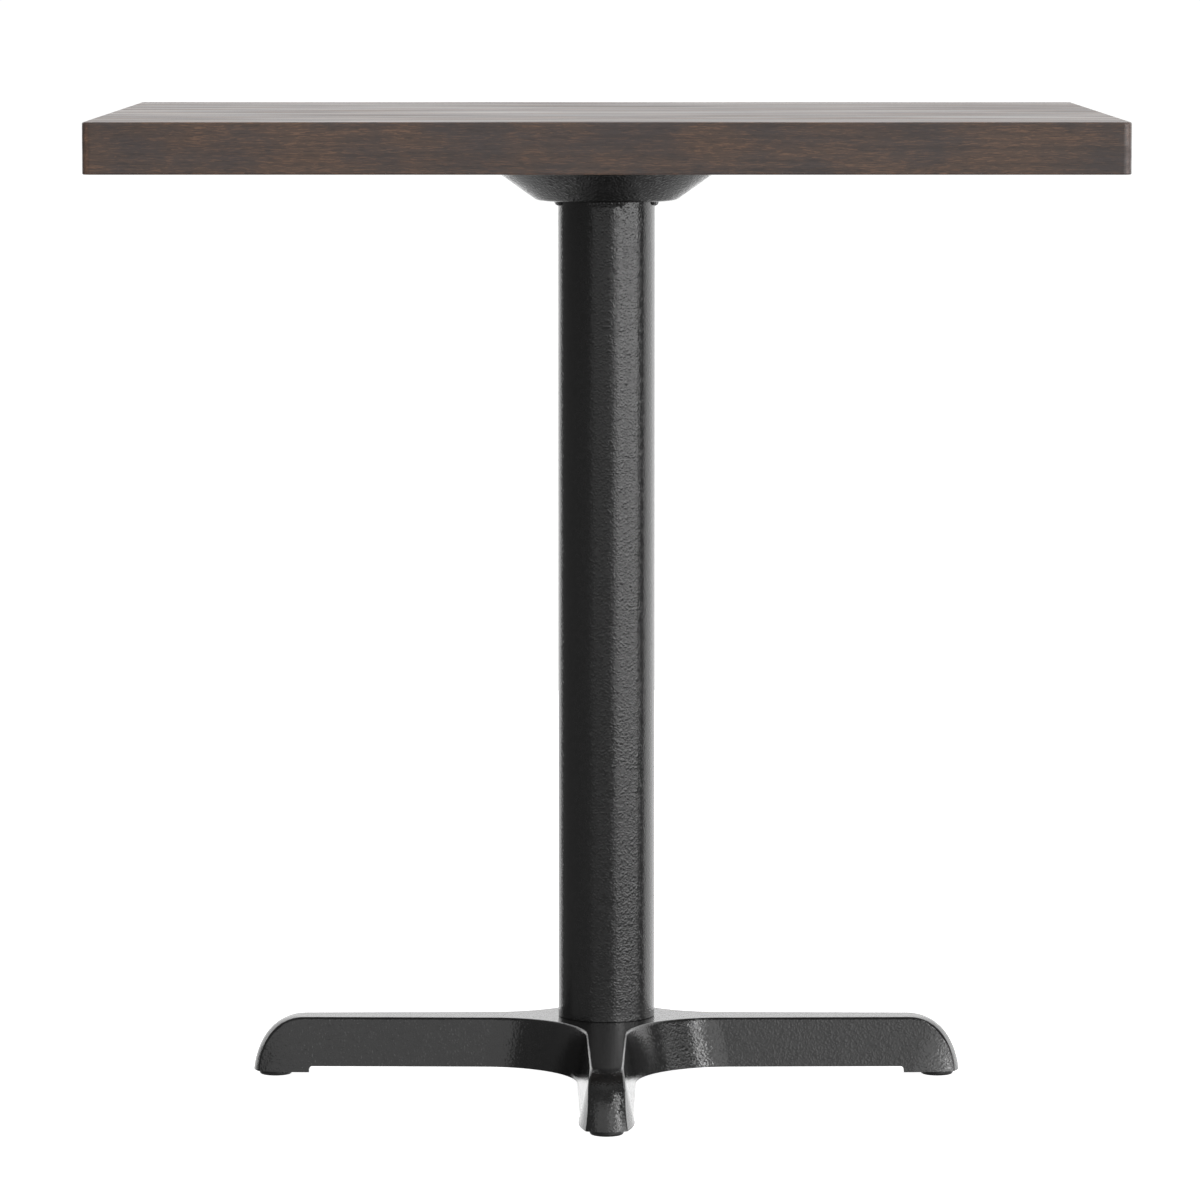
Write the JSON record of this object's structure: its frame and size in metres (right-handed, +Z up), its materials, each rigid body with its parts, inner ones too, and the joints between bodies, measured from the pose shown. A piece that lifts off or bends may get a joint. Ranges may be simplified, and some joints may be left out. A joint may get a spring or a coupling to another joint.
{
  "type": "bistro table",
  "caption": "Pedestal bistro table: rectangular stained butcher-block top on a round steel column with a black cast iron cross base and screw-in levelling glides.",
  "frame": {"origin": "on the floor, in the middle of the table, under the column's axis", "axes": "+Z up along the column, +X along the long side of the top, the front of the table faces -Y"},
  "size_m": [0.762, 0.6096, 0.752],
  "materials": {
    "stained_wood": "dark stained hardwood, satin lacquer",
    "black_powder_coat": "black textured powder coat, semi-gloss",
    "black_cast_iron": "cast iron with a black textured powder coat",
    "zinc_plated_steel": "zinc plated",
    "black_nylon": "moulded black nylon"
  },
  "bodies": {
    "table": {"top_stave_01": "stained_wood", "top_stave_02": "stained_wood", "top_stave_03": "stained_wood", "top_stave_04": "stained_wood", "top_stave_05": "stained_wood", "top_stave_06": "stained_wood", "top_stave_07": "stained_wood", "top_stave_08": "stained_wood", "top_stave_09": "stained_wood", "top_stave_10": "stained_wood", "top_stave_11": "stained_wood", "top_stave_12": "stained_wood", "top_stave_13": "stained_wood", "top_stave_14": "stained_wood", "top_stave_15": "stained_wood", "top_stave_16": "stained_wood", "top_pan": "black_powder_coat", "column_tube": "black_powder_coat", "weld_beads": "black_powder_coat", "base_casting": "black_cast_iron", "flange_screws": "zinc_plated_steel", "column_plug": "zinc_plated_steel", "base_bolt": "zinc_plated_steel", "flat_washer": "zinc_plated_steel", "spring_washer": "zinc_plated_steel"},
    "right_pad": {"glide_pad_right": "black_nylon"},
    "right_stud": {"glide_stud_right": "zinc_plated_steel"},
    "back_pad": {"glide_pad_back": "black_nylon"},
    "back_stud": {"glide_stud_back": "zinc_plated_steel"},
    "left_pad": {"glide_pad_left": "black_nylon"},
    "left_stud": {"glide_stud_left": "zinc_plated_steel"},
    "front_pad": {"glide_pad_front": "black_nylon"},
    "front_stud": {"glide_stud_front": "zinc_plated_steel"}
  },
  "joints": [
    {"name": "right_glide_height", "type": "slide", "parent": "table", "child": "right_pad", "axis": [0, 0, -1], "range_m": [0, 0.008]},
    {"name": "right_stud_turn", "type": "hinge", "parent": "right_pad", "child": "right_stud", "pos_m": [0.259, 0, 0.01], "axis": [0, 0, -1], "range_deg": [-1, 2305]},
    {"name": "back_glide_height", "type": "slide", "parent": "table", "child": "back_pad", "axis": [0, 0, -1], "range_m": [0, 0.008]},
    {"name": "back_stud_turn", "type": "hinge", "parent": "back_pad", "child": "back_stud", "pos_m": [0, 0.259, 0.01], "axis": [0, 0, -1], "range_deg": [-1, 2305]},
    {"name": "left_glide_height", "type": "slide", "parent": "table", "child": "left_pad", "axis": [0, 0, -1], "range_m": [0, 0.008]},
    {"name": "left_stud_turn", "type": "hinge", "parent": "left_pad", "child": "left_stud", "pos_m": [-0.259, 0, 0.01], "axis": [0, 0, -1], "range_deg": [-1, 2305]},
    {"name": "front_glide_height", "type": "slide", "parent": "table", "child": "front_pad", "axis": [0, 0, -1], "range_m": [0, 0.008]},
    {"name": "front_stud_turn", "type": "hinge", "parent": "front_pad", "child": "front_stud", "pos_m": [0, -0.259, 0.01], "axis": [0, 0, -1], "range_deg": [-1, 2305]}
  ],
  "couplings": [
    {"joint": "right_stud_turn", "follows": "right_glide_height", "rad_per_m": 5026.5},
    {"joint": "back_stud_turn", "follows": "back_glide_height", "rad_per_m": 5026.5},
    {"joint": "left_stud_turn", "follows": "left_glide_height", "rad_per_m": 5026.5},
    {"joint": "front_stud_turn", "follows": "front_glide_height", "rad_per_m": 5026.5}
  ]
}
